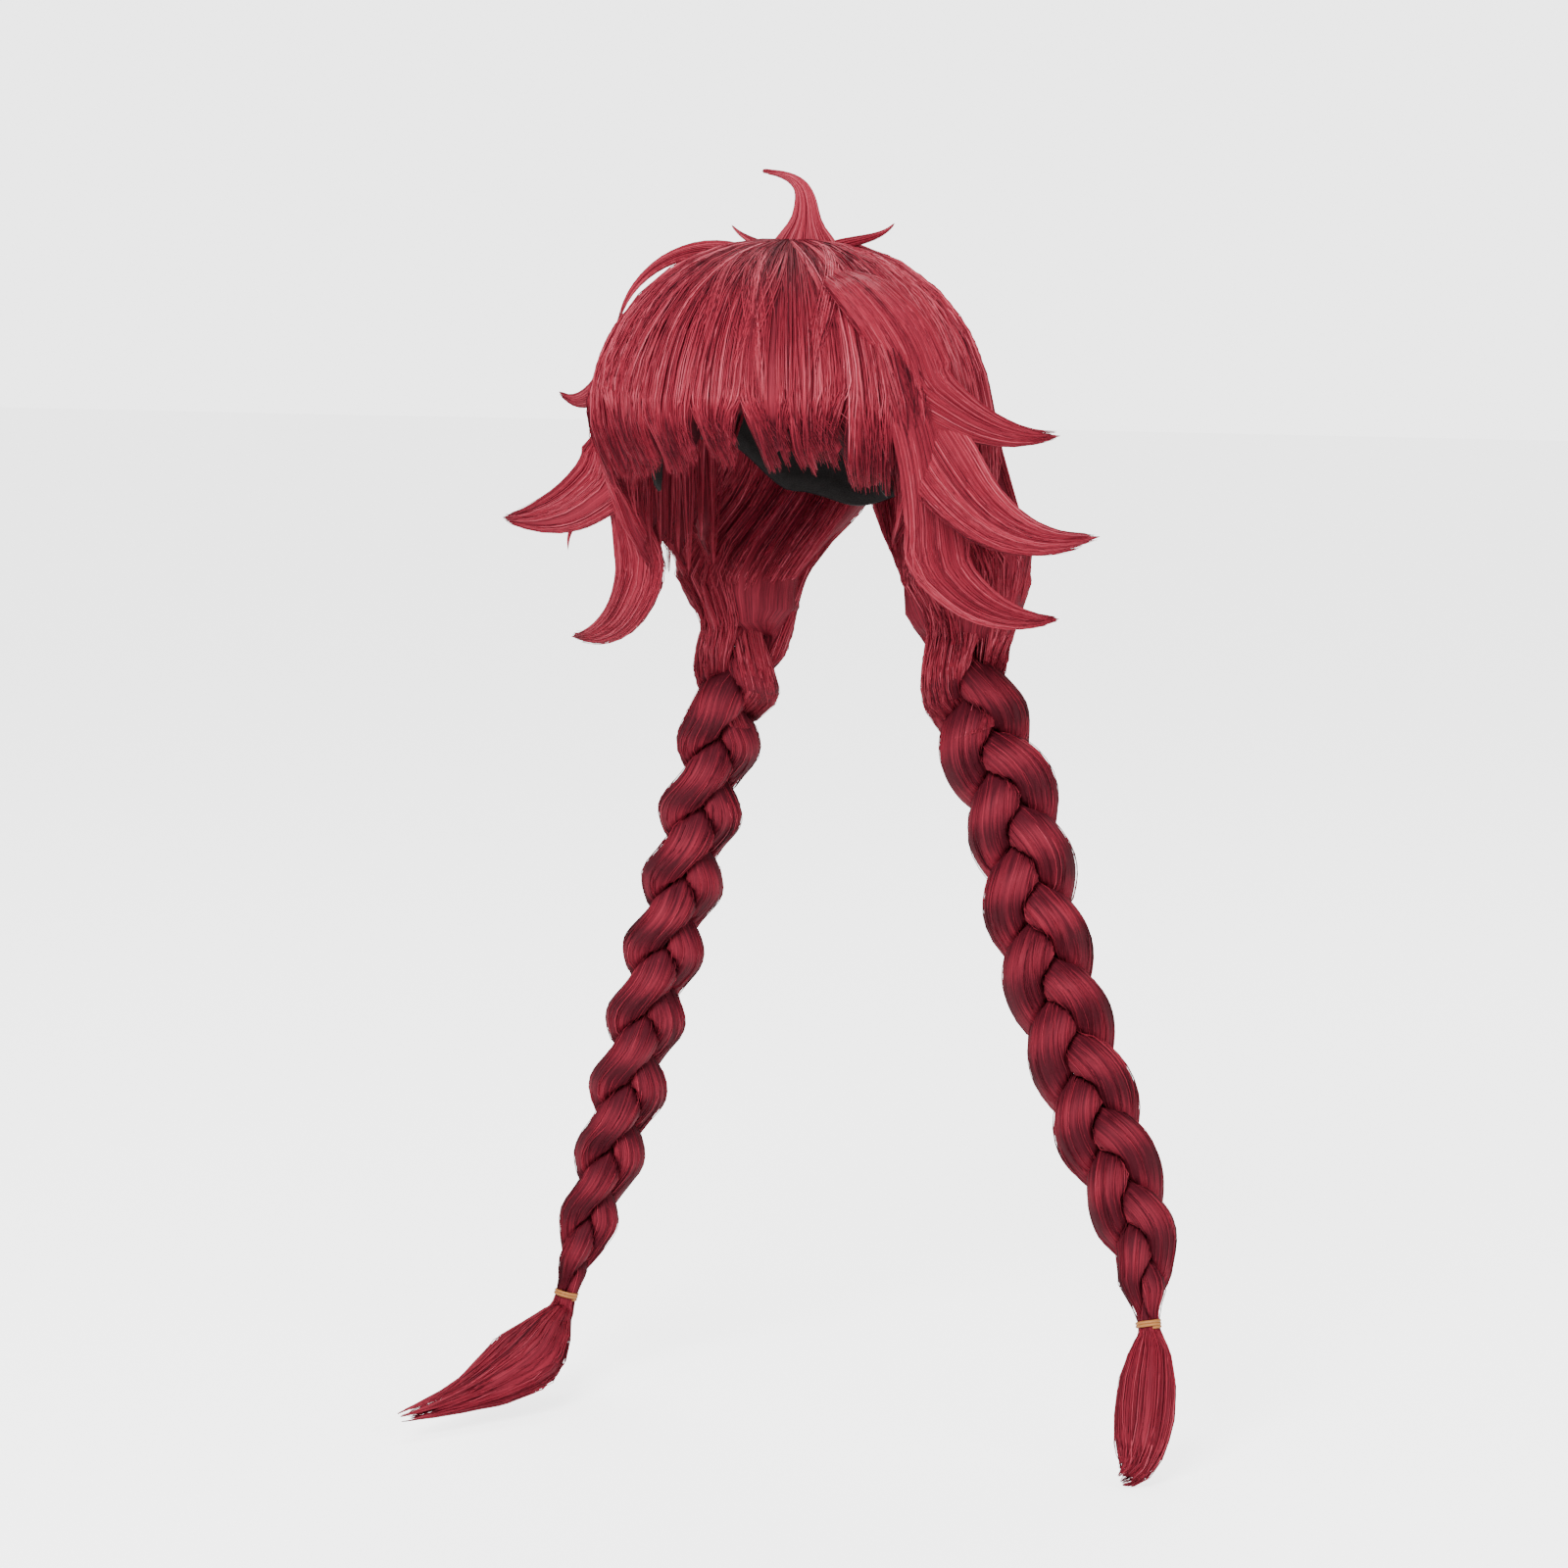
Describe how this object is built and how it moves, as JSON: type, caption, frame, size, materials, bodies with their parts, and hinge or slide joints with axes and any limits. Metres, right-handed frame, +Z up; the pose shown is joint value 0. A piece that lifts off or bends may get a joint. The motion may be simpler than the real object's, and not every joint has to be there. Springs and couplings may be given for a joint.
{
  "type": "cosplay wig",
  "caption": "Red costume wig with a notched blunt fringe, flicked side layers, an upright cowlick and long plaits tied with elastic, on an open net cap that fits over a head.",
  "frame": {"origin": "middle of the head that the cap fits, at the hat line", "axes": "+Z up out of the crown, -Y out of the fringe, +X to the wearer's left"},
  "size_m": [0.4441, 0.2498, 0.7209],
  "materials": {
    "hair": "soft sheen fibre",
    "cap": "matte net",
    "tie": "satin"
  },
  "bodies": {
    "root": {"wig_cap": "cap", "fringe": "hair", "side_hair_left": "hair", "side_hair_right": "hair", "back_hair_left": "hair", "back_hair_right": "hair", "upper_flick_left": "hair", "upper_flick_right": "hair", "middle_flick_left": "hair", "middle_flick_right": "hair", "lower_flick_left": "hair", "lower_flick_right": "hair", "cowlick": "hair", "crown_wisp_left": "hair", "crown_wisp_right": "hair", "arched_lock": "hair", "plait_left_strand_1": "hair", "plait_left_strand_2": "hair", "plait_left_strand_3": "hair", "plait_right_strand_1": "hair", "plait_right_strand_2": "hair", "plait_right_strand_3": "hair", "plait_left_tail": "hair", "plait_right_tail": "hair", "plait_left_tie": "tie", "plait_right_tie": "tie"}
  },
  "joints": []
}
